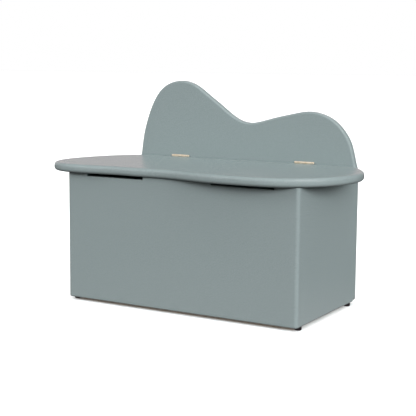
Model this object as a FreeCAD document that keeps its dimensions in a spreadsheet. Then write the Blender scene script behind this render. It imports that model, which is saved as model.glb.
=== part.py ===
import FreeCAD, Part
import Sketcher
import os

from FreeCAD import Vector

os.makedirs("parts", exist_ok=True)

# A child's storage bench: an open box of painted boards, a bean-shaped lid that is the seat, and a
# wave-shaped back board that carries the lid on two small butt hinges.
# Frame: X to the right, Y to the back, Z up; the origin is under the middle of the whole bench.

doc = FreeCAD.newDocument("storage_bench")
sheet = doc.addObject("Spreadsheet::Sheet", "Sizes")

# Driving dimensions in millimetres: (alias, value, what it is).
SIZES = [
    ("box_width", 675, "outside width of the box"),
    ("box_depth", 362, "front face to rear face"),
    ("panel_height", 336, "height of the front and side panels"),
    ("panel_thick", 18, "front and side panels"),
    ("back_thick", 20, "back board"),
    ("corner_radius", 9, "rounded vertical corners of the box"),
    ("lower_edge_radius", 5, "rounded lower outer edges of the box"),
    ("ease_radius", 1.2, "eased upper edges of the panels"),
    ("foot_height", 8, "glide foot, floor to panel"),
    ("foot_radius", 8.5, "glide foot"),
    ("foot_inset_front", 27, "front face to the front feet"),
    ("foot_inset_rear", 38, "rear face to the rear feet"),
    ("foot_inset_side", 9, "side face to every foot"),
    ("lid_overhang_left", 88, "lid beyond the box's left side"),
    ("lid_overhang_right", 78.5, "lid beyond the box's right side"),
    ("lid_front_overhang", 43, "lid's larger front bulge beyond the front face"),
    ("lid_thick", 22, "lid board"),
    ("lid_upper_radius", 9, "rounding of the lid's upper edge"),
    ("lid_lower_radius", 8, "rounding of the lid's lower edge"),
    ("lid_gap", 1, "rim to lid, kept by the bumpers"),
    ("lid_back_gap", 1.5, "lid to back board"),
    ("back_edge_radius", 5, "rounding of the backrest's edge"),
    ("back_corner_radius", 12, "lower corners of the back board"),
    ("slot_depth", 8, "air slots in the front panel's top edge"),
    ("slot_length", 173, "each air slot"),
    ("slot_centre", 186.5, "middle of the box to the middle of a slot"),
    ("bottom_thick", 12, "bottom panel"),
    ("rail_size", 20, "square rails under the bottom panel"),
    ("rail_screw_length", 30, "rail screws"),
    ("bottom_screw_length", 28, "screws up through the rails"),
    ("hinge_length", 56, "butt hinge"),
    ("hinge_centre", 194, "middle of the bench to the middle of a hinge"),
    ("leaf_thick", 1.2, "hinge leaf"),
    ("leaf_height", 17, "leaf below the lid's top"),
    ("leaf_clear", 0.3, "gap between the two closed leaves"),
    ("knuckle_radius", 2.6, "outside of the hinge barrel"),
    ("pin_radius", 1.25, "hinge pin"),
    ("pin_clear", 0.05, "radial running clearance of the pin"),
    ("knuckle_gap", 0.3, "end gap between knuckles"),
    ("barrel_lift", 0.3, "lid's top to the underside of the barrel"),
    ("screw_radius", 1.25, "shank of a hinge screw"),
    ("screw_head", 2.4, "head radius of a hinge screw"),
    ("screw_length", 14, "hinge screw"),
    ("cam_radius", 7.5, "cam lock"),
    ("cam_depth", 12.5, "cam lock"),
    ("cam_offset", 34, "panel end to the cam's centre"),
    ("bolt_radius", 3, "cam bolt shank"),
    ("bolt_seat", 11, "cam bolt's threaded end in the outer board"),
    ("dowel_radius", 4, "dowel"),
    ("dowel_length", 30, "dowel"),
    ("fit_clear", 0.1, "glue and screw clearance, on the radius"),
    ("bumper_radius", 5, "felt bumper on the rim"),
    ("bumper_thick", 0.9, "felt bumper"),
]
for row, (alias, value, meaning) in enumerate(SIZES, start=1):
    sheet.set(f"A{row}", meaning)
    sheet.set(f"B{row}", str(value))
    sheet.setAlias(f"B{row}", alias)
doc.recompute()


def size(alias):
    return float(sheet.get(alias))


WIDTH = size("box_width")
DEPTH = size("box_depth")
PANEL = size("panel_thick")
BACK = size("back_thick")
HEIGHT = size("panel_height")
FOOT = size("foot_height")
LID = size("lid_thick")
CLEAR = size("fit_clear")

HALF = WIDTH / 2
FRONT = size("lid_front_overhang") / 2 - DEPTH / 2      # Y of the box's front face
REAR = FRONT + DEPTH                                    # Y of the box's rear face
BOARD = REAR - BACK                                     # Y of the back board's front face
RIM = FOOT + HEIGHT                                     # Z of the box's rim
LID_LOW = RIM + size("lid_gap")                         # Z of the lid's underside
LID_TOP = LID_LOW + LID
LID_REAR = BOARD - size("lid_back_gap")                 # Y of the lid's straight rear edge
# Everything is modelled about the middle of the box, then moved to the middle of the whole bench.
SHIFT = (size("lid_overhang_left") - size("lid_overhang_right")) / 2

# Back board: points of the backrest's edge, (across from the middle, above the box's underside).
# It leaves the box's left side, rises to the tall hump, dips, and falls over the lower hump.
BACK_EDGE = [
    (-334.6, 364), (-326.3, 418), (-313, 464), (-292, 513), (-260.5, 552.5), (-225, 570),
    (-190, 573), (-152, 561.5), (-114.5, 537), (-75.5, 510), (-37, 482.5), (-7, 467), (25, 462),
    (58, 467.5), (103, 479.5), (150, 490), (196, 497.5), (237, 491.5), (269, 476.5), (297.5, 450),
    (318.5, 415), (334.2, 358),
]

# Lid: points of the bean outline, (across from the middle, back from the front face), from the rear
# left corner round the left end, along the front with its hollow, and round the right end.
LID_EDGE = [
    (-324, None), (-359, 304), (-390, 254), (-413, 192), (-425, 128), (-418, 60), (-384, 5),
    (-328, -22), (-270, -22), (-222, -17), (-176, -14), (-122, -14), (-70, -12.5), (-14, -15),
    (49, -27), (115, -39), (181, -43), (244, -41), (300, -27), (347, 4), (384, 48), (407, 104),
    (416, 160), (411, 208), (397, 250), (373, 292), (335, None),
]


def at(obj, x=0.0, y=0.0, z=0.0, rotation=None):
    obj.Placement = FreeCAD.Placement(Vector(x, y, z), rotation or FreeCAD.Rotation())
    return obj


def origin_plane(body, role):
    return next(f for f in body.Origin.OriginFeatures if f.Role == role)


def new_body(name):
    return doc.addObject("PartDesign::Body", name)


def new_sketch(body, name, role, offset=0.0):
    sketch = body.newObject("Sketcher::SketchObject", name)
    sketch.AttachmentSupport = (origin_plane(body, role), [""])
    sketch.MapMode = "FlatFace"
    sketch.AttachmentOffset = FreeCAD.Placement(Vector(0, 0, offset), FreeCAD.Rotation())
    return sketch


def rectangle(sketch, x, y, width, height, bind_width=None, bind_height=None):
    """A constrained rectangle; its two lengths may be bound to the sheet."""
    corners = [(x, y), (x + width, y), (x + width, y + height), (x, y + height)]
    first = sketch.GeometryCount
    for k in range(4):
        a, b = corners[k], corners[(k + 1) % 4]
        sketch.addGeometry(Part.LineSegment(Vector(*a, 0), Vector(*b, 0)), False)
    for k in range(4):
        sketch.addConstraint(Sketcher.Constraint("Coincident", first + k, 2, first + (k + 1) % 4, 1))
    for k, kind in enumerate(("Horizontal", "Vertical", "Horizontal", "Vertical")):
        sketch.addConstraint(Sketcher.Constraint(kind, first + k))
    sketch.addConstraint(Sketcher.Constraint("DistanceX", -1, 1, first, 1, x))
    sketch.addConstraint(Sketcher.Constraint("DistanceY", -1, 1, first, 1, y))
    across = sketch.addConstraint(Sketcher.Constraint("DistanceX", first, 1, first, 2, width))
    up = sketch.addConstraint(Sketcher.Constraint("DistanceY", first + 1, 1, first + 1, 2, height))
    if bind_width:
        sketch.setExpression(f"Constraints[{across}]", bind_width)
    if bind_height:
        sketch.setExpression(f"Constraints[{up}]", bind_height)


def spline_outline(sketch, points, corners=(), upright_ends=False):
    """A smooth curve through the points, closed by straight lines over the corners."""
    curve = Part.BSplineCurve()
    places = [Vector(x, y, 0) for x, y in points]
    if upright_ends:
        curve.interpolate(Points=places, InitialTangent=Vector(0, 1, 0), FinalTangent=Vector(0, -1, 0))
    else:
        curve.interpolate(places)
    sketch.addGeometry(curve, False)
    chain = [points[-1], *corners, points[0]]
    for a, b in zip(chain, chain[1:]):
        sketch.addGeometry(Part.LineSegment(Vector(*a, 0), Vector(*b, 0)), False)
    last = sketch.GeometryCount - 1
    for k in range(1, last):
        sketch.addConstraint(Sketcher.Constraint("Coincident", k, 2, k + 1, 1))


def pad(body, name, sketch, length, reverse=False):
    feature = body.newObject("PartDesign::Pad", name)
    feature.Profile = sketch
    feature.Reversed = reverse
    feature.setExpression("Length", length)
    doc.recompute()
    return feature


def pocket(body, name, sketch, length, reverse=False):
    before = body.Shape.Volume
    feature = body.newObject("PartDesign::Pocket", name)
    feature.Profile = sketch
    feature.Reversed = reverse
    feature.setExpression("Length", length)
    doc.recompute()
    if body.Shape.Volume > before - 1.0:
        raise RuntimeError(f"{name} cuts nothing")
    return feature


def fillet(body, name, radius, wanted):
    """Round the edges of the body's tip that the test picks."""
    base = body.Tip
    names = [f"Edge{k}" for k, edge in enumerate(base.Shape.Edges, start=1) if wanted(edge)]
    feature = body.newObject("PartDesign::Fillet", name)
    feature.Base = (base, names)
    feature.setExpression("Radius", radius)
    doc.recompute()
    return feature


def middle(edge):
    return edge.valueAt((edge.FirstParameter + edge.LastParameter) / 2)


def is_line_along(edge, axis):
    if edge.Curve.TypeId != "Part::GeomLine":
        return False
    return abs(abs(edge.tangentAt(edge.FirstParameter).dot(axis)) - 1) < 1e-6


def near(a, b, tolerance=0.01):
    return abs(a - b) < tolerance


def bind(obj, **values):
    """Set an object's sizes: an expression on the sheet where a text is given, else a number."""
    for prop, value in values.items():
        if isinstance(value, str):
            obj.setExpression(prop, value)
        else:
            setattr(obj, prop, value)


def rod(name, radius, length, start, direction):
    """A round bar or drill along any direction."""
    cylinder = doc.addObject("Part::Cylinder", name)
    bind(cylinder, Radius=radius, Height=length)
    rotation = FreeCAD.Rotation(Vector(0, 0, 1), Vector(*direction))
    return at(cylinder, *start, rotation=rotation)


def block(name, x, y, z, length, width, height):
    box = doc.addObject("Part::Box", name)
    bind(box, Length=length, Width=width, Height=height)
    return at(box, x, y, z)


def together(name, objects):
    group = doc.addObject("Part::Compound", name)
    group.Links = objects
    return group


def drilled(label, body, drills):
    """The sub-part: a board with every hole cut out of it."""
    doc.recompute()
    before = body.Shape.Volume
    cut = doc.addObject("Part::Cut", label + "_cut")
    cut.Base = body
    cut.Tool = together(label + "_drills", drills)
    cut.Label = label
    doc.recompute()
    if cut.Shape.Volume > before - 1.0:
        raise RuntimeError(f"{label} is not drilled")
    return cut


def copies(label, master, places):
    """Identical loose pieces in one node: the master's shape at each (position, direction)."""
    doc.recompute()
    solids = []
    for position, direction in places:
        shape = master.Shape.copy()
        rotation = FreeCAD.Rotation(Vector(0, 0, 1), Vector(*direction))
        shape.Placement = FreeCAD.Placement(Vector(*position), rotation)
        solids.append(shape)
    group = doc.addObject("Part::Feature", label)
    group.Shape = Part.makeCompound(solids)
    group.Label = label
    return group


def turned(name, profile):
    """A turned piece along +Z from half its section, given as (radius, height) points."""
    body = new_body(name)
    sketch = new_sketch(body, name + "_section", "XZ_Plane")
    for a, b in zip(profile, profile[1:] + profile[:1]):
        sketch.addGeometry(Part.LineSegment(Vector(*a, 0), Vector(*b, 0)), False)
    for k in range(len(profile)):
        after = (k + 1) % len(profile)
        sketch.addConstraint(Sketcher.Constraint("Coincident", k, 2, after, 1))
    turn = body.newObject("PartDesign::Revolution", name + "_turn")
    turn.Profile = sketch
    turn.ReferenceAxis = (sketch, ["V_Axis"])
    turn.Angle = 360
    doc.recompute()
    return body


X, Y, Z = (1, 0, 0), (0, 1, 0), (0, 0, 1)
FORWARD = (0, -1, 0)
SIDES = (("left", -1), ("right", 1))
parts = []

# ---- Where the fasteners are -------------------------------------------------------------------

# Side panels: two cam bolts and two dowels in each end, at these heights above the panel's foot.
CAM_HEIGHTS = (75, 265)
DOWEL_HEIGHTS = (125, 215)
DOWEL_SEAT = 11                          # dowel in the face of the front panel or back board
BOLT_HEAD = 3.4                          # cam bolt's head radius
CAM_RADIUS = size("cam_radius")
CAM_DEPTH = size("cam_depth")
CAM_OFFSET = size("cam_offset")
SIDE_FRONT = FRONT + PANEL
MID_SIDE = HALF - PANEL / 2
joints_on_ends = ((SIDE_FRONT, 1), (BOARD, -1))   # (Y of the joint face, way into the side panel)


def cam_places():
    for face, way in joints_on_ends:
        for height in CAM_HEIGHTS:
            yield face, way, FOOT + height


def dowel_places(sign):
    for face, way in joints_on_ends:
        for height in DOWEL_HEIGHTS:
            yield (sign * MID_SIDE, face - way * DOWEL_SEAT, FOOT + height), (0, way, 0)


def bolt_places(sign):
    for face, way, height in cam_places():
        yield (sign * MID_SIDE, face - way * size("bolt_seat"), height), (0, way, 0)


# Rails: screws sideways into the panels and up into the bottom panel.
RAIL = size("rail_size")
INNER = HALF - PANEL
RAIL_SCREW_X = (-210, 0, 210)
RAIL_SCREW_Y = (SIDE_FRONT + 70, BOARD - 70)
SCREW_MID = FOOT + RAIL / 2
SCREW_SINK = 1.5                         # rail screws' heads below the rail's surface
SHANK = 2                                # radius of the rail and bottom screws
SCREW_HEAD = 3.9                         # their heads
MOUTH = 4                                # radius of the sunk mouth of each screw hole
SCREW_HOLE = 30                          # hole for a rail screw
UP_HOLE = 28                             # hole for a screw up into the bottom panel
UP_SCREW_X = (-120, 120)
SEAT_DRILL = 20                          # drill depth for the seats of bolts and dowels

side_screws = []
for x in RAIL_SCREW_X:
    side_screws.append(((x, SIDE_FRONT + RAIL - SCREW_SINK, SCREW_MID), FORWARD))
    side_screws.append(((x, BOARD - RAIL + SCREW_SINK, SCREW_MID), Y))
for _, sign in SIDES:
    for y in RAIL_SCREW_Y:
        start = (sign * (INNER - RAIL + SCREW_SINK), y, SCREW_MID)
        side_screws.append((start, (sign, 0, 0)))
up_screws = []
for x in UP_SCREW_X:
    up_screws.append(((x, SIDE_FRONT + RAIL / 2, FOOT + SCREW_SINK), Z))
    up_screws.append(((x, BOARD - RAIL / 2, FOOT + SCREW_SINK), Z))
middle_y = (SIDE_FRONT + BOARD) / 2
for _, sign in SIDES:
    up_screws.append(((sign * (INNER - RAIL / 2), middle_y, FOOT + SCREW_SINK), Z))

# Feet: one glide near each corner, nailed into the side panels.
foot_x = HALF - size("foot_inset_side")
foot_rows = (("front", FRONT + size("foot_inset_front")), ("rear", REAR - size("foot_inset_rear")))
foot_places = [(f"{row}_{side}", sign * foot_x, y) for row, y in foot_rows for side, sign in SIDES]
NAIL_RADIUS = 1.2
NAIL_UP = 16                             # nail in the panel

# Hinges: the barrel lies just above the lid's top, along X, in the gap at the back board.
LEAF = size("leaf_thick")
LEAF_CLEAR = size("leaf_clear")
KNUCKLE = size("knuckle_radius")
HINGE_HALF = size("hinge_length") / 2
AXIS_Y = BOARD - LEAF - LEAF_CLEAR / 2
AXIS_Z = LID_TOP + size("barrel_lift") + KNUCKLE
LEAF_LOW = LID_TOP - size("leaf_height")
hinge_xs = [(name, sign * size("hinge_centre") - SHIFT) for name, sign in SIDES]
LEAF_SCREW_X = (-19, 0, 19)
LEAF_SCREW_Z = LID_TOP - 10
BARREL_CLEAR = 0.4                       # round the barrel, in the back board's groove
SCREW_R = size("screw_radius")
SCREW_LENGTH = size("screw_length")


def leaf_screw_places(face, way):
    for _, centre in hinge_xs:
        for x in LEAF_SCREW_X:
            yield (centre + x, face, LEAF_SCREW_Z), (0, way, 0)


def holes(name, places, radius, length):
    """Clearance holes for fasteners that start at the given places."""
    drills = []
    for k, (start, direction) in enumerate(places):
        drills.append(rod(f"{name}_{k}", radius + CLEAR, length + CLEAR, start, direction))
    return drills


# ---- Front panel -------------------------------------------------------------------------------

body = new_body("front_board")
outline = new_sketch(body, "front_outline", "XY_Plane")
rectangle(outline, -HALF, FRONT, WIDTH, PANEL, "Sizes.box_width", "Sizes.panel_thick")
pad(body, "front_pad", outline, "Sizes.panel_height")
fillet(body, "front_corners", "Sizes.corner_radius",
       lambda e: is_line_along(e, Vector(*Z)) and near(middle(e).y, FRONT))
slots = new_sketch(body, "front_slots", "XZ_Plane")
for sign in (-1, 1):
    start = sign * size("slot_centre") - size("slot_length") / 2
    rectangle(slots, start, HEIGHT - size("slot_depth"), size("slot_length"), size("slot_depth") + 1,
              "Sizes.slot_length")
slot_cut = body.newObject("PartDesign::Pocket", "front_slot_cut")
slot_cut.Profile = slots
slot_cut.Type = "ThroughAll"
slot_cut.Midplane = True
doc.recompute()
slot_floor = HEIGHT - size("slot_depth")


def on_front_face(edge):
    """The edges of the front face, with the arcs of its two rounded corners."""
    round_corner = edge.Curve.TypeId == "Part::GeomCircle" and middle(edge).y < FRONT + PANEL / 2
    return near(middle(edge).y, FRONT) or round_corner


fillet(body, "front_lower_edge", "Sizes.lower_edge_radius",
       lambda e: near(middle(e).z, 0) and on_front_face(e))
fillet(body, "front_eases", "Sizes.ease_radius",
       lambda e: middle(e).z > slot_floor - 1 and on_front_face(e))
at(body, z=FOOT)
drills = []
for name, sign in SIDES:
    front_bolts = [p for p in bolt_places(sign) if p[0][1] < 0]
    front_dowels = [p for p in dowel_places(sign) if p[0][1] < 0]
    drills += holes(f"front_{name}_bolt", front_bolts, size("bolt_radius"), SEAT_DRILL)
    drills += holes(f"front_{name}_dowel", front_dowels, size("dowel_radius"), SEAT_DRILL)
drills += holes("front_rail", [p for p in side_screws if p[1] == FORWARD], SHANK, SCREW_HOLE)
parts.append(drilled("front_panel", body, drills))

# ---- Side panels -------------------------------------------------------------------------------

for name, sign in SIDES:
    body = new_body(f"{name}_side_board")
    outline = new_sketch(body, f"{name}_side_outline", "XY_Plane")
    start = HALF - PANEL if sign > 0 else -HALF
    rectangle(outline, start, SIDE_FRONT, PANEL, DEPTH - PANEL - BACK, "Sizes.panel_thick",
              "Sizes.box_depth - Sizes.panel_thick - Sizes.back_thick")
    pad(body, f"{name}_side_pad", outline, "Sizes.panel_height")
    for edge_name, radius, height in (("lower_edge", "Sizes.lower_edge_radius", 0),
                                      ("ease", "Sizes.ease_radius", HEIGHT)):
        fillet(body, f"{name}_side_{edge_name}", radius, lambda e: is_line_along(e, Vector(*Y))
               and near(middle(e).x, sign * HALF) and near(middle(e).z, height))
    at(body, z=FOOT)
    drills = []
    inside = sign * (HALF - PANEL)
    for k, (face, way, height) in enumerate(cam_places()):
        centre = (inside, face + way * CAM_OFFSET, height)
        drills.append(rod(f"{name}_cam_{k}", "Sizes.cam_radius + Sizes.fit_clear",
                          "Sizes.cam_depth + Sizes.fit_clear", centre, (sign, 0, 0)))
        channel = (sign * MID_SIDE, face, height)
        drills.append(rod(f"{name}_channel_{k}", BOLT_HEAD + 2 * CLEAR, "Sizes.cam_offset",
                          channel, (0, way, 0)))
    for k, (start_at, direction) in enumerate(dowel_places(sign)):
        drills.append(rod(f"{name}_dowel_{k}", "Sizes.dowel_radius + Sizes.fit_clear",
                          "Sizes.dowel_length + 1", start_at, direction))
    sideways = [p for p in side_screws if p[1] == (sign, 0, 0)]
    drills += holes(f"{name}_rail", sideways, SHANK, SCREW_HOLE)
    nails = [((x, y, FOOT), Z) for _, x, y in foot_places if x * sign > 0]
    drills += holes(f"{name}_nail", nails, NAIL_RADIUS, NAIL_UP)
    parts.append(drilled(f"{name}_side_panel", body, drills))

# ---- Back board: the rear wall and the backrest in one board -------------------------------------

body = new_body("back_blank")
outline = new_sketch(body, "back_outline", "XZ_Plane", -REAR)
edge = [(-HALF, HEIGHT)] + BACK_EDGE + [(HALF, HEIGHT)]
spline_outline(outline, edge, [(HALF, 0), (-HALF, 0)], upright_ends=True)
pad(body, "back_pad", outline, "Sizes.back_thick")
fillet(body, "back_edge", "Sizes.back_edge_radius",
       lambda e: e.Curve.TypeId == "Part::GeomBSplineCurve" and not is_line_along(e, Vector(*Y)))
# Below the rim the front edges stay square, so that the side panels meet them flush.
squares = new_sketch(body, "back_squares", "XZ_Plane", -BOARD)
strip = 2 * size("back_edge_radius")
for start in (-HALF, HALF - strip):
    rectangle(squares, start, 0, strip, HEIGHT, bind_height="Sizes.panel_height")
pad(body, "back_square_pad", squares, "Sizes.back_thick / 2", reverse=True)
# The two lower corners are rounded off: each cut is the corner outside a quarter circle.
round_off = size("back_corner_radius")
corners = new_sketch(body, "back_corners", "XZ_Plane", -REAR)
for _, sign in SIDES:
    tip = Vector(sign * HALF, 0, 0)
    foot_end = Vector(sign * (HALF - round_off), 0, 0)
    side_end = Vector(sign * HALF, round_off, 0)
    centre = Vector(sign * (HALF - round_off), round_off, 0)
    on_arc = centre + Vector(sign, -1, 0).normalize() * round_off
    corners.addGeometry(Part.LineSegment(foot_end, tip), False)
    corners.addGeometry(Part.LineSegment(tip, side_end), False)
    corners.addGeometry(Part.Arc(side_end, on_arc, foot_end), False)
corner_cut = body.newObject("PartDesign::Pocket", "back_corner_cut")
corner_cut.Profile = corners
corner_cut.Type = "ThroughAll"
corner_cut.Midplane = True
doc.recompute()
at(body, z=FOOT)
drills = []
for name, centre in hinge_xs:
    start = (centre - HINGE_HALF - BARREL_CLEAR, AXIS_Y, AXIS_Z)
    drills.append(rod(f"back_{name}_groove", KNUCKLE + BARREL_CLEAR,
                      2 * (HINGE_HALF + BARREL_CLEAR), start, X))
drills += holes("back_leaf", leaf_screw_places(BOARD - LEAF, 1), SCREW_R, SCREW_LENGTH)
for name, sign in SIDES:
    rear_bolts = [p for p in bolt_places(sign) if p[0][1] > 0]
    rear_dowels = [p for p in dowel_places(sign) if p[0][1] > 0]
    drills += holes(f"back_{name}_bolt", rear_bolts, size("bolt_radius"), SEAT_DRILL)
    drills += holes(f"back_{name}_dowel", rear_dowels, size("dowel_radius"), SEAT_DRILL)
drills += holes("back_rail", [p for p in side_screws if p[1] == Y], SHANK, SCREW_HOLE)
parts.append(drilled("back_board", body, drills))

# ---- Bottom panel and its rails ------------------------------------------------------------------

GAP = 0.5                                # bottom panel to the walls
floor_board = block("bottom_blank", -INNER + GAP, SIDE_FRONT + GAP, FOOT + RAIL,
                    2 * (INNER - GAP), BOARD - SIDE_FRONT - 2 * GAP, "Sizes.bottom_thick")
parts.append(drilled("bottom_panel", floor_board, holes("bottom_hole", up_screws, SHANK, UP_HOLE)))

rail_depth = BOARD - SIDE_FRONT - 2 * RAIL
rail_blanks = [
    ("front_rail", -INNER, SIDE_FRONT, 2 * INNER, RAIL),
    ("rear_rail", -INNER, BOARD - RAIL, 2 * INNER, RAIL),
    ("left_rail", -INNER, SIDE_FRONT + RAIL, RAIL, rail_depth),
    ("right_rail", INNER - RAIL, SIDE_FRONT + RAIL, RAIL, rail_depth),
]
for label, x, y, length, width in rail_blanks:
    blank = block(label + "_blank", x, y, FOOT, length, width, "Sizes.rail_size")

    def in_rail(place):
        px, py = place[0][0], place[0][1]
        return x - 1 < px < x + length + 1 and y - 1 < py < y + width + 1

    drills = holes(label + "_side", [p for p in side_screws if in_rail(p)], SHANK, SCREW_HOLE)
    drills += holes(label + "_up", [p for p in up_screws if in_rail(p)], SHANK, UP_HOLE)
    for k, (start, direction) in enumerate([p for p in side_screws + up_screws if in_rail(p)]):
        mouth = [c - d * SCREW_SINK for c, d in zip(start, direction)]
        drills.append(rod(f"{label}_mouth_{k}", MOUTH + CLEAR, SCREW_SINK + 2.5, mouth, direction))
    parts.append(drilled(label, blank, drills))

# ---- Fasteners of the box ------------------------------------------------------------------------


def screw_profile(shank, head, length):
    """A countersunk screw: flat head with a round recess, shank and point, head at height 0."""
    rise = head - shank
    return [(0, 0.6), (head * 0.45, 0.6), (head * 0.45, 0), (head, 0), (shank, rise),
            (shank, length - 3), (0, length)]


rail_screw = turned("rail_screw_master", screw_profile(SHANK, SCREW_HEAD, size("rail_screw_length")))
parts.append(copies("rail_screws", rail_screw, side_screws))
bottom_screw = turned("bottom_screw_master",
                      screw_profile(SHANK, SCREW_HEAD, size("bottom_screw_length")))
parts.append(copies("bottom_screws", bottom_screw, up_screws))

dowel_end = size("dowel_radius") - 0.8
dowel = turned("dowel_master", [
    (0, 0.3), (dowel_end, 0.3), (size("dowel_radius"), 1.3),
    (size("dowel_radius"), size("dowel_length") - 1), (dowel_end, size("dowel_length")),
    (0, size("dowel_length"))])
parts.append(copies("panel_dowels", dowel, [p for _, sign in SIDES for p in dowel_places(sign)]))

# Cam bolt: thread, collar, thin neck and a ball-like head that the cam grips.
reach = size("bolt_seat") + CAM_OFFSET
bolt = turned("cam_bolt_master", [
    (0, 0.2), (2.2, 0.2), (3, 1), (3, 10.8), (3, reach - 8.6), (1.7, reach - 7.6),
    (1.7, reach - 4.4), (BOLT_HEAD - 0.4, reach - 3.6), (BOLT_HEAD - 0.4, reach - 1.4),
    (1.7, reach - 0.4), (0, reach - 0.4)])
parts.append(copies("cam_bolts", bolt, [p for _, sign in SIDES for p in bolt_places(sign)]))

# Cam lock: a short cylinder with a cross recess and a channel that takes the bolt's head.
CROSS = 4.2                              # half the length of each arm of the cross recess
ARM = 0.6                                # half its width
RECESS = 2.2                             # its depth
cam_core = rod("cam_core", "Sizes.cam_radius", "Sizes.cam_depth", (0, 0, 0), Z)
cam_cross_a = block("cam_cross_a", -CROSS, -ARM, -1, 2 * CROSS, 2 * ARM, RECESS + 1)
cam_cross_b = block("cam_cross_b", -ARM, -CROSS, -1, 2 * ARM, 2 * CROSS, RECESS + 1)
cam_channel = rod("cam_channel", BOLT_HEAD, CAM_RADIUS + 4, (0, -CAM_RADIUS - 1, PANEL / 2), Y)
cam = doc.addObject("Part::Cut", "cam_master")
cam.Base = cam_core
cam.Tool = together("cam_cuts", [cam_cross_a, cam_cross_b, cam_channel])
doc.recompute()
cams = []
for _, sign in SIDES:
    for face, way, height in cam_places():
        shape = cam.Shape.copy()
        turn_over = FreeCAD.Rotation(Vector(0, 0, 1), Vector(sign, 0, 0))
        channel_now = turn_over.multVec(Vector(0, -1, 0))
        spin = FreeCAD.Rotation(channel_now, Vector(0, -way, 0))
        centre = Vector(sign * (HALF - PANEL), face + way * CAM_OFFSET, height)
        shape.Placement = FreeCAD.Placement(centre, spin.multiply(turn_over))
        cams.append(shape)
group = doc.addObject("Part::Feature", "cam_locks")
group.Shape = Part.makeCompound(cams)
group.Label = "cam_locks"
parts.append(group)

# ---- Feet ----------------------------------------------------------------------------------------

foot_r = size("foot_radius")
for place, x, y in foot_places:
    glide = turned(f"glide_{place}", [
        (0, 0), (foot_r - 2.5, 0), (foot_r - 0.8, 0.8), (foot_r, 2.4), (foot_r, FOOT - 0.6),
        (foot_r - 0.6, FOOT), (NAIL_RADIUS + CLEAR, FOOT), (NAIL_RADIUS + CLEAR, 2.4),
        (0, 2.4)])
    glide.Label = f"glide_foot_{place}"
    parts.append(at(glide, x, y))
nail = turned("nail_master", [(0, 2.5), (NAIL_RADIUS, 2.5), (NAIL_RADIUS, FOOT + NAIL_UP - 3),
                              (0, FOOT + NAIL_UP)])
parts.append(copies("foot_nails", nail, [((x, y, 0), Z) for _, x, y in foot_places]))

# ---- Bumpers on the rim --------------------------------------------------------------------------

bumper_r = size("bumper_radius")
bumper_t = size("bumper_thick")
bumper = turned("bumper_master", [(0, 0), (bumper_r, 0), (bumper_r, bumper_t - 0.3),
                                  (bumper_r - 0.3, bumper_t), (0, bumper_t)])
BUMPER_X = (-300, 0, 300)                # along the front panel's rim
BUMPER_BACK = 60                         # back board to the bumpers on the side panels
bumper_places = [((x, FRONT + PANEL / 2 + 1, RIM), Z) for x in BUMPER_X]
bumper_places += [((sign * MID_SIDE, BOARD - BUMPER_BACK, RIM), Z) for _, sign in SIDES]
parts.append(copies("rim_bumpers", bumper, bumper_places))

# ---- Lid -----------------------------------------------------------------------------------------

body = new_body("lid_blank")
outline = new_sketch(body, "lid_outline", "XY_Plane")
rear_line = LID_REAR - FRONT
edge = [(x, FRONT + (rear_line if y is None else y)) for x, y in LID_EDGE]
spline_outline(outline, edge)
pad(body, "lid_pad", outline, "Sizes.lid_thick")
for name, level in (("lower", 0), ("upper", LID)):
    fillet(body, f"lid_{name}_rounding", f"Sizes.lid_{name}_radius",
           lambda e: e.Curve.TypeId == "Part::GeomBSplineCurve" and near(middle(e).z, level))
mortise = new_sketch(body, "lid_mortises", "XZ_Plane", -LID_REAR)
for _, centre in hinge_xs:
    rectangle(mortise, centre - HINGE_HALF - CLEAR, LID - size("leaf_height") - CLEAR,
              2 * (HINGE_HALF + CLEAR), size("leaf_height") + 1)
pocket(body, "lid_mortise_cut", mortise, "Sizes.leaf_thick", reverse=True)
at(body, z=LID_LOW)
lid_screws = list(leaf_screw_places(LID_REAR, -1))
parts.append(drilled("lid", body, holes("lid_leaf", lid_screws, SCREW_R, SCREW_LENGTH)))

# ---- Hinges --------------------------------------------------------------------------------------

KNUCKLES = 5
knuckle_pitch = size("hinge_length") / KNUCKLES
bore = size("pin_radius") + size("pin_clear")
TAB_CLEAR = 0.5                          # leaf below the other leaf's knuckles


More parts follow.
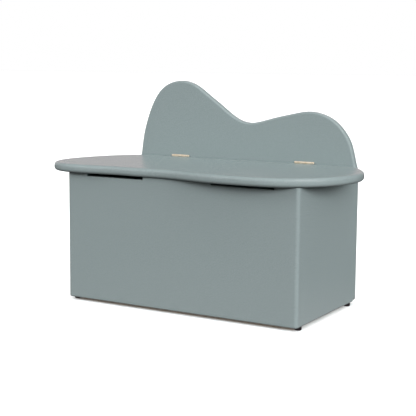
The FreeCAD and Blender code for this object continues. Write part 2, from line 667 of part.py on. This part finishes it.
def hinge_leaf(label, centre, leaf_y, owned, screw_face, way):
    """One leaf: a plate with tabs that roll into its own knuckles, and countersunk holes."""
    plate_top = AXIS_Z - KNUCKLE - TAB_CLEAR
    pieces = [block(label + "_plate", centre - HINGE_HALF, leaf_y, LEAF_LOW,
                    "Sizes.hinge_length", "Sizes.leaf_thick", plate_top - LEAF_LOW)]
    cuts = []
    for k in owned:
        start = centre - HINGE_HALF + k * knuckle_pitch + size("knuckle_gap") / 2
        length = knuckle_pitch - size("knuckle_gap")
        pieces.append(block(f"{label}_tab_{k}", start, leaf_y, plate_top - 1, length, LEAF,
                            AXIS_Z - bore - 0.2 - plate_top + 1))
        pieces.append(rod(f"{label}_knuckle_{k}", "Sizes.knuckle_radius", length,
                          (start, AXIS_Y, AXIS_Z), X))
    cuts.append(rod(label + "_bore", "Sizes.pin_radius + Sizes.pin_clear", "Sizes.hinge_length + 2",
                    (centre - HINGE_HALF - 1, AXIS_Y, AXIS_Z), X))
    for k, x in enumerate(LEAF_SCREW_X):
        mouth = (centre + x, screw_face, LEAF_SCREW_Z)
        cuts.append(rod(f"{label}_hole_{k}", SCREW_R + CLEAR, LEAF + 1, mouth, (0, way, 0)))
        sink = doc.addObject("Part::Cone", f"{label}_sink_{k}")
        bind(sink, Radius1="Sizes.screw_head + Sizes.fit_clear",
             Radius2="Sizes.screw_radius + Sizes.fit_clear",
             Height="Sizes.screw_head - Sizes.screw_radius")
        at(sink, *mouth, rotation=FreeCAD.Rotation(Vector(0, 0, 1), Vector(0, way, 0)))
        cuts.append(sink)
    solid = doc.addObject("Part::MultiFuse", label + "_solid")
    solid.Shapes = pieces
    doc.recompute()
    return drilled(label, solid, cuts)


for name, centre in hinge_xs:
    fixed_y = BOARD - LEAF
    moving_y = LID_REAR - LEAF
    parts.append(hinge_leaf(f"{name}_hinge_fixed_leaf", centre, fixed_y, (0, 2, 4), fixed_y, 1))
    parts.append(hinge_leaf(f"{name}_hinge_lid_leaf", centre, moving_y, (1, 3), LID_REAR, -1))
    pin_r = size("pin_radius")
    pin_end = HINGE_HALF + 0.8
    shaft = turned(f"{name}_hinge_pin", [
        (0, -pin_end), (pin_r * 0.7, -pin_end), (pin_r, 0.5 - pin_end), (pin_r, pin_end - 0.5),
        (pin_r * 0.7, pin_end), (0, pin_end)])
    parts.append(at(shaft, centre, AXIS_Y, AXIS_Z, FreeCAD.Rotation(Vector(*Z), Vector(*X))))

leaf_screw = turned("leaf_screw_master", screw_profile(SCREW_R, size("screw_head"), SCREW_LENGTH))
parts.append(copies("fixed_leaf_screws", leaf_screw, leaf_screw_places(BOARD - LEAF, 1)))
parts.append(copies("lid_leaf_screws", leaf_screw, lid_screws))

# ---- Check and write -----------------------------------------------------------------------------

for part in parts:
    part.Placement = FreeCAD.Placement(Vector(SHIFT, 0, 0), FreeCAD.Rotation()) * part.Placement
doc.recompute()
for obj in doc.Objects:
    bad = [state for state in obj.State if state in ("Invalid", "Error")]
    if bad:
        raise RuntimeError(f"{obj.Name} is {bad}")
for part in parts:
    if part.Shape.isNull() or not part.Shape.isValid():
        raise RuntimeError(f"{part.Label} has no valid shape")
for part in parts:
    part.Shape.exportStep(f"parts/{part.Label}.step")
    box = part.Shape.BoundBox
    print(f"{part.Label:28s} solids {len(part.Shape.Solids):2d} volume {part.Shape.Volume / 1000:9.2f} cm3 "
          f"x {box.XMin:7.1f} {box.XMax:7.1f} y {box.YMin:7.1f} {box.YMax:7.1f} "
          f"z {box.ZMin:6.1f} {box.ZMax:6.1f}")
print(len(parts), "sub-parts; hinge axis at", round(AXIS_Y, 3), round(AXIS_Z, 3))
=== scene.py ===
import math

import bpy
from mathutils import Euler, Matrix, Vector


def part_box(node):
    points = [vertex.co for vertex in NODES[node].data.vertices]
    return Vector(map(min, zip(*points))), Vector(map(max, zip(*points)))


# Looks of the storage bench: satin lacquer on fibreboard, brass butt hinges, pine rails and
# black glides. Everything is in metres in the frame of the design: X right, Y back, Z up, with
# the floor at Z = 0.

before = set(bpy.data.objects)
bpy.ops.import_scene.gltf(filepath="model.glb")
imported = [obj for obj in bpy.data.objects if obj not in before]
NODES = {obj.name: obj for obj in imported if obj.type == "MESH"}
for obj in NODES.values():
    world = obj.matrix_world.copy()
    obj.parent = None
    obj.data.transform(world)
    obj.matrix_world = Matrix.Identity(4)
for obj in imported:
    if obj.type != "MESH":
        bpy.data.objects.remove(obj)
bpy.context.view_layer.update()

PAINTED = ("front_panel", "left_side_panel", "right_side_panel", "back_board", "lid")
RAILS = ("front_rail", "rear_rail", "left_rail", "right_rail")
FEET = tuple(n for n in sorted(NODES) if n.startswith("glide_foot"))
LEAVES = tuple(n for n in sorted(NODES) if n.endswith("_leaf"))
PINS = tuple(n for n in sorted(NODES) if n.endswith("_hinge_pin"))

# Lacquer colour, linear: a grey green.
SAGE = (0.175, 0.249, 0.249)


# ---- Node helpers -------------------------------------------------------------------------------


class Nodes:
    """A small shorthand for building one material's node tree."""

    def __init__(self, name):
        self.material = bpy.data.materials.new(name)
        self.material.use_nodes = True
        self.tree = self.material.node_tree
        self.tree.nodes.clear()
        self.out = self.add("ShaderNodeOutputMaterial")
        self.shader = self.add("ShaderNodeBsdfPrincipled")
        self.link(self.shader, "BSDF", self.out, "Surface")
        self.coords = self.add("ShaderNodeTexCoord")

    def add(self, kind, **values):
        node = self.tree.nodes.new(kind)
        for key, value in values.items():
            setattr(node, key, value)
        return node

    def link(self, a, output, b, entry):
        self.tree.links.new(a.outputs[output], b.inputs[entry])

    def mapped(self, scale):
        mapping = self.add("ShaderNodeMapping")
        mapping.inputs["Scale"].default_value = scale
        self.link(self.coords, "Object", mapping, "Vector")
        return mapping

    def noise(self, scale, detail=3.0, roughness=0.5, stretch=(1, 1, 1), distortion=0.0):
        node = self.add("ShaderNodeTexNoise")
        node.inputs["Scale"].default_value = scale
        node.inputs["Detail"].default_value = detail
        node.inputs["Roughness"].default_value = roughness
        node.inputs["Distortion"].default_value = distortion
        self.link(self.mapped(stretch), "Vector", node, "Vector")
        return node

    def range(self, source, output, low, high, to_low, to_high):
        node = self.add("ShaderNodeMapRange")
        node.inputs["From Min"].default_value = low
        node.inputs["From Max"].default_value = high
        node.inputs["To Min"].default_value = to_low
        node.inputs["To Max"].default_value = to_high
        self.link(source, output, node, "Value")
        return node

    def math(self, operation, *values):
        """A maths node; each value is a number or (node, output), and so is what it gives back."""
        node = self.add("ShaderNodeMath", operation=operation)
        for entry, value in zip(node.inputs, values):
            if isinstance(value, tuple):
                self.tree.links.new(value[0].outputs[value[1]], entry)
            else:
                entry.default_value = value
        return node, "Value"

    def ramp(self, source, output, stops):
        node = self.add("ShaderNodeValToRGB")
        elements = node.color_ramp.elements
        while len(elements) > len(stops):
            elements.remove(elements[-1])
        while len(elements) < len(stops):
            elements.new(1.0)
        for element, (place, colour) in zip(elements, stops):
            element.position = place
            element.color = (*colour, 1.0)
        self.link(source, output, node, "Fac")
        return node

    def mix(self, factor, a, b):
        """Mixes two colours; each is (node, output) or a plain colour, factor is (node, output)."""
        node = self.add("ShaderNodeMix", data_type="RGBA")
        self.tree.links.new(factor[0].outputs[factor[1]], node.inputs[0])
        for entry, value in ((6, a), (7, b)):
            if isinstance(value[0], bpy.types.Node):
                self.tree.links.new(value[0].outputs[value[1]], node.inputs[entry])
            else:
                node.inputs[entry].default_value = (*value, 1.0)
        return node

    def bump(self, layers):
        """Stacks bump layers, each (node, output, height in metres)."""
        last = None
        for node, output, height in layers:
            bump = self.add("ShaderNodeBump")
            bump.inputs["Distance"].default_value = height
            bump.inputs["Strength"].default_value = 1.0
            self.link(node, output, bump, "Height")
            if last:
                self.link(last, "Normal", bump, "Normal")
            last = bump
        self.link(last, "Normal", self.shader, "Normal")

    def set(self, **values):
        for key, value in values.items():
            self.shader.inputs[key.replace("_", " ")].default_value = value


def shade(colour, factor):
    return tuple(channel * factor for channel in colour)


# ---- Materials ----------------------------------------------------------------------------------


def lacquer(name, colour=SAGE):
    """Sprayed satin lacquer: faint orange peel, cloudy gloss and a little tone drift."""
    m = Nodes(name)
    cloud = m.noise(7.0, detail=4.0)
    fine = m.noise(420.0, detail=2.0, roughness=0.6)
    tone = m.mix((m.range(cloud, "Fac", 0.3, 0.7, 0.0, 1.0), "Result"),
                 shade(colour, 0.994), shade(colour, 1.006))
    speckle = m.range(fine, "Fac", 0.35, 0.65, 0.0, 0.35)
    grain = m.mix((speckle, "Result"), (tone, 2), shade(colour, 0.97))
    m.link(grain, 2, m.shader, "Base Color")
    gloss = m.range(m.noise(520.0, detail=2.0), "Fac", 0.3, 0.7, 0.25, 0.30)
    m.link(gloss, "Result", m.shader, "Roughness")
    peel = m.noise(900.0, detail=1.0)
    wave = m.noise(14.0, detail=1.0)
    m.bump([(peel, "Fac", 0.000003), (wave, "Fac", 0.00001)])
    m.set(IOR=1.5)
    return m.material


def brass(name):
    m = Nodes(name)
    rub = m.noise(900.0, detail=3.0, stretch=(0.08, 1, 1))
    tone = m.ramp(m.noise(160.0), "Fac", [(0.3, (0.82, 0.76, 0.54)), (0.7, (0.95, 0.92, 0.76))])
    m.link(tone, "Color", m.shader, "Base Color")
    m.link(m.range(rub, "Fac", 0.3, 0.7, 0.30, 0.44), "Result", m.shader, "Roughness")
    m.bump([(rub, "Fac", 0.00001)])
    m.set(Metallic=0.6)
    return m.material


def steel(name, tint=(0.62, 0.61, 0.57)):
    m = Nodes(name)
    rub = m.noise(700.0, detail=3.0)
    tone = m.ramp(m.noise(120.0), "Fac", [(0.3, shade(tint, 0.8)), (0.7, tint)])
    m.link(tone, "Color", m.shader, "Base Color")
    m.link(m.range(rub, "Fac", 0.3, 0.7, 0.28, 0.45), "Result", m.shader, "Roughness")
    m.bump([(rub, "Fac", 0.00001)])
    m.set(Metallic=1.0)
    return m.material


def timber(name, pale, dark, stretch):
    """Planed wood: long rings and fine pores along the axis that the stretch leaves small."""
    m = Nodes(name)
    rings = m.noise(55.0, detail=6.0, roughness=0.62, stretch=stretch, distortion=0.6)
    fibres = m.noise(700.0, detail=3.0, stretch=stretch)
    colour = m.ramp(rings, "Fac", [(0.32, dark), (0.5, pale), (0.72, shade(pale, 0.86))])
    shaded = m.mix((m.range(fibres, "Fac", 0.3, 0.7, 0.0, 0.4), "Result"), (colour, "Color"), dark)
    m.link(shaded, 2, m.shader, "Base Color")
    m.link(m.range(fibres, "Fac", 0.3, 0.7, 0.5, 0.7), "Result", m.shader, "Roughness")
    m.bump([(fibres, "Fac", 0.00004), (rings, "Fac", 0.0001)])
    return m.material


def moulded(name):
    """Black glide plastic with a fine eroded texture."""
    m = Nodes(name)
    grain = m.noise(2600.0, detail=2.0)
    stops = [(0.3, (0.006, 0.006, 0.007)), (0.7, (0.013, 0.013, 0.014))]
    tone = m.ramp(m.noise(300.0), "Fac", stops)
    m.link(tone, "Color", m.shader, "Base Color")
    m.link(m.range(grain, "Fac", 0.3, 0.7, 0.42, 0.58), "Result", m.shader, "Roughness")
    m.bump([(grain, "Fac", 0.00003)])
    return m.material


def felt(name):
    m = Nodes(name)
    fluff = m.noise(1800.0, detail=5.0, roughness=0.7, distortion=1.5)
    tone = m.ramp(fluff, "Fac", [(0.3, (0.55, 0.54, 0.50)), (0.7, (0.80, 0.79, 0.75))])
    m.link(tone, "Color", m.shader, "Base Color")
    m.link(m.range(fluff, "Fac", 0.3, 0.7, 0.8, 1.0), "Result", m.shader, "Roughness")
    m.bump([(fluff, "Fac", 0.0003)])
    m.set(Sheen_Weight=0.4)
    return m.material


def dress(names, material):
    for name in names:
        slots = NODES[name].data.materials
        slots.clear()
        slots.append(material)


dress(PAINTED, lacquer("sage_lacquer"))
dress(("bottom_panel",), lacquer("bottom_lacquer", shade(SAGE, 0.97)))
PINE = ((0.66, 0.46, 0.26), (0.46, 0.28, 0.13))
dress(("front_rail", "rear_rail"), timber("pine_across", *PINE, (0.06, 1, 1)))
dress(("left_rail", "right_rail"), timber("pine_along", *PINE, (1, 0.06, 1)))
dress(("panel_dowels",), timber("beech", (0.60, 0.41, 0.25), (0.42, 0.26, 0.14), (1, 0.08, 1)))
dress(LEAVES + ("fixed_leaf_screws", "lid_leaf_screws") + PINS, brass("brass"))
dress(("rail_screws", "bottom_screws"), steel("zinc_yellow", (0.60, 0.50, 0.30)))
dress(("cam_bolts", "cam_locks", "foot_nails"), steel("zinc"))
dress(FEET, moulded("glide_plastic"))
dress(("rim_bumpers",), felt("felt"))


# ---- Studio -------------------------------------------------------------------------------------

# Soft distant lights: (name, azimuth from the front towards the right, height above the horizon,
# width of the light, all in degrees, strength, mirrored). Only the last kind shows in glossy
# surfaces, which otherwise mirror the paler studio of the world below: no view shows a glare.
# The fills light the back and the left, which the main view doesn't see.
LIGHTS = (
    ("key_right", 58, 23, 22, 0.37, False),
    ("key_front", 32, 23, 22, 0.37, False),
    ("front", 0, 22, 24, 0.31, False),
    ("side", 86, 18, 30, 0.75, False),
    ("left_high", -50, 31, 32, 0.51, False),
    ("right_high", 70, 52, 32, 0.20, True),
    ("top", 0, 88, 40, 0.28, False),
    ("back_fill", 215, -8, 30, 0.92, False),
    ("left_fill", -95, 0, 30, 0.30, False),
)
SOFTBOX = 0.25               # bright side of the studio, only as glossy surfaces mirror it
WARM = (1.18, 1.0, 1.01)     # tint of all the studio's light
BOUNCE = 0.04                # light from the far floor
HORIZON = 0.25               # the pale room in front, near eye level
BACKDROP = 0.58              # the white wall behind on the left, as the object sees it
NEAR_FLOOR = 0.35            # the lit floor in front, as glossy surfaces mirror it
NEAR_CENTRE = (0.1, -0.4)
NEAR_REACH = 1.1
FLOOR_REACH = 60.0           # half the side of the floor, far enough to look endless
FLOOR_WHITE = 0.80
FLOOR_GLOW = 0.45            # lifts the studio floor to the white of the background
CONTACT_SHADOW_REACH = 0.03               # how far from the object the lift takes to fade in, which paints a contact shadow under and round it


def stage_mesh(name, reach, material):
    """A level square on the floor that casts no shadow, from -reach to reach both ways."""
    mesh = bpy.data.meshes.new(name)
    corners = [(x * reach, y * reach, 0.0) for x, y in ((-1, -1), (1, -1), (1, 1), (-1, 1))]
    mesh.from_pydata(corners, [], [(0, 1, 2, 3)])
    piece = bpy.data.objects.new(name, mesh)
    bpy.context.scene.collection.objects.link(piece)
    piece.data.materials.append(material)
    piece.visible_shadow = False
    return piece


def studio_floor():
    """The pale floor that the camera sees. It sends no light back to the object. Its glow is zero
    under the object and fades in just outside it, which paints a contact shadow there.
    """
    low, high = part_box("bottom_panel")
    m = Nodes("studio_white")
    m.set(Base_Color=(*(FLOOR_WHITE / tint for tint in WARM), 1.0), Roughness=1.0)
    m.shader.inputs["Specular IOR Level"].default_value = 0.0
    m.shader.inputs["Emission Color"].default_value = (1.0, 1.0, 1.0, 1.0)
    place = m.add("ShaderNodeSeparateXYZ")
    m.link(m.coords, "Object", place, "Vector")
    outside = []
    for k, axis in enumerate("XY"):
        half = m.math("ABSOLUTE", m.math("SUBTRACT", (place, axis), (low[k] + high[k]) / 2))
        outside.append(m.math("SUBTRACT", half, (high[k] - low[k]) / 2))
    # Painted contact shadow: the glow is zero under the object's footprint and rises to full over
    # the contact reach outside it.
    glow = m.range(*m.math("MAXIMUM", *outside), 0.0, CONTACT_SHADOW_REACH, 0.0, FLOOR_GLOW)
    m.link(glow, "Result", m.shader, "Emission Strength")
    floor = stage_mesh("studio_floor", FLOOR_REACH, m.material)
    floor.visible_diffuse = False
    floor.visible_glossy = False


def near_floor():
    """A glow on the floor that only reflections see: the lit floor in front of the object."""
    m = Nodes("studio_bounce")
    m.shader.inputs["Base Color"].default_value = (0.0, 0.0, 0.0, 1.0)
    m.shader.inputs["Specular IOR Level"].default_value = 0.0
    m.shader.inputs["Emission Color"].default_value = (*WARM, 1.0)
    reach = m.add("ShaderNodeVectorMath", operation="LENGTH")
    m.link(m.coords, "Object", reach, "Vector")
    glow = m.range(reach, "Value", 0.2, NEAR_REACH, NEAR_FLOOR, 0.0)
    m.link(glow, "Result", m.shader, "Emission Strength")
    m.material.cycles.emission_sampling = "NONE"
    patch = stage_mesh("near_floor", NEAR_REACH, m.material)
    patch.location = (*NEAR_CENTRE, 0.0)
    patch.visible_camera = False
    patch.visible_diffuse = False


def soft_light(name, azimuth, height, width, strength, mirrored):
    data = bpy.data.lights.new(name, "SUN")
    data.angle = math.radians(width)
    data.energy = math.pi * strength
    data.color = WARM
    light = bpy.data.objects.new(name, data)
    a = math.radians(azimuth)
    e = math.radians(height)
    towards = Vector((math.sin(a) * math.cos(e), -math.cos(a) * math.cos(e), math.sin(e)))
    light.rotation_euler = towards.to_track_quat("Z", "Y").to_euler()
    light.visible_glossy = mirrored
    bpy.context.scene.collection.objects.link(light)


def studio_world():
    """White behind the object. The object itself sees a dim far floor, a pale room ahead and a
    white wall behind on the left, and its gloss also mirrors a soft bright side in front."""
    world = bpy.data.worlds.new("studio")
    world.use_nodes = True
    tree = world.node_tree
    tree.nodes.clear()

    def add(kind, **values):
        node = tree.nodes.new(kind)
        for key, value in values.items():
            setattr(node, key, value)
        return node

    def span(source, low, high, to_low, to_high):
        """A fade along one component of the direction, such as the sine of the height, Z."""
        node = add("ShaderNodeMapRange")
        tree.links.new(source, node.inputs["Value"])
        entries = ("From Min", "From Max", "To Min", "To Max")
        for entry, value in zip(entries, (low, high, to_low, to_high)):
            node.inputs[entry].default_value = value
        return node.outputs["Result"]

    def join(operation, a, b):
        node = add("ShaderNodeMath", operation=operation)
        tree.links.new(a, node.inputs[0])
        tree.links.new(b, node.inputs[1])
        return node.outputs["Value"]

    axes = add("ShaderNodeSeparateXYZ")
    tree.links.new(add("ShaderNodeTexCoord").outputs["Generated"], axes.inputs["Vector"])
    below = span(axes.outputs["Z"], -0.05, 0.02, BOUNCE, 0.0)
    ahead = join("MULTIPLY", span(axes.outputs["Y"], -0.3, 0.0, HORIZON, 0.0),
                 join("MULTIPLY", span(axes.outputs["Z"], -0.18, -0.12, 0.0, 1.0),
                      span(axes.outputs["Z"], 0.02, 0.08, 1.0, 0.0)))
    corner = join("MULTIPLY", span(axes.outputs["Y"], 0.1, 0.35, 0.0, BACKDROP),
                  span(axes.outputs["X"], -0.2, 0.1, 1.0, 0.0))
    behind = join("MULTIPLY", corner,
                  join("MULTIPLY", span(axes.outputs["Z"], 0.0, 0.05, 0.0, 1.0),
                       span(axes.outputs["Z"], 0.35, 0.6, 1.0, 0.0)))
    rays = add("ShaderNodeLightPath")
    softbox = join("MULTIPLY", span(axes.outputs["Y"], -0.5, -0.1, SOFTBOX, 0.0),
                   join("MULTIPLY", span(axes.outputs["Z"], 0.05, 0.2, 0.0, 1.0),
                        span(axes.outputs["Z"], 0.6, 0.8, 1.0, 0.0)))
    mirrored = join("MULTIPLY", softbox, rays.outputs["Is Glossy Ray"])
    seen = add("ShaderNodeBackground")
    backdrop = add("ShaderNodeBackground")
    room = join("ADD", join("ADD", below, ahead), join("ADD", behind, mirrored))
    tree.links.new(room, seen.inputs["Strength"])
    for shader, tint in ((seen, WARM), (backdrop, (1.0, 1.0, 1.0))):
        shader.inputs["Color"].default_value = (*tint, 1.0)
    pick = add("ShaderNodeMixShader")
    tree.links.new(rays.outputs["Is Camera Ray"], pick.inputs["Fac"])
    tree.links.new(seen.outputs["Background"], pick.inputs[1])
    tree.links.new(backdrop.outputs["Background"], pick.inputs[2])
    out = add("ShaderNodeOutputWorld")
    tree.links.new(pick.outputs["Shader"], out.inputs["Surface"])
    bpy.context.scene.world = world


# Camera: a long lens to the front right of the bench, a little above its seat.
CAMERA_AZIMUTH = 30.35
CAMERA_PITCH = 7.82
CAMERA_ROLL = 0.42
CAMERA_PLACE = (1.3631, -2.3209, 0.6235)
CAMERA_LENS = 89.6
SENSOR_WIDTH = 36.0


def studio_camera():
    data = bpy.data.cameras.new("camera")
    data.lens = CAMERA_LENS
    data.sensor_width = SENSOR_WIDTH
    camera = bpy.data.objects.new("camera", data)
    camera.location = CAMERA_PLACE
    tilt = math.radians(90 - CAMERA_PITCH)
    aim = Euler((tilt, 0, math.radians(CAMERA_AZIMUTH)), "XYZ").to_matrix()
    roll = Matrix.Rotation(math.radians(CAMERA_ROLL), 3, "Z")
    camera.rotation_euler = (aim @ roll).to_euler()
    bpy.context.scene.collection.objects.link(camera)
    bpy.context.scene.camera = camera


studio_floor()
near_floor()
studio_world()
for light in LIGHTS:
    soft_light(*light)
studio_camera()
scene = bpy.context.scene
scene.view_settings.view_transform = "Standard"
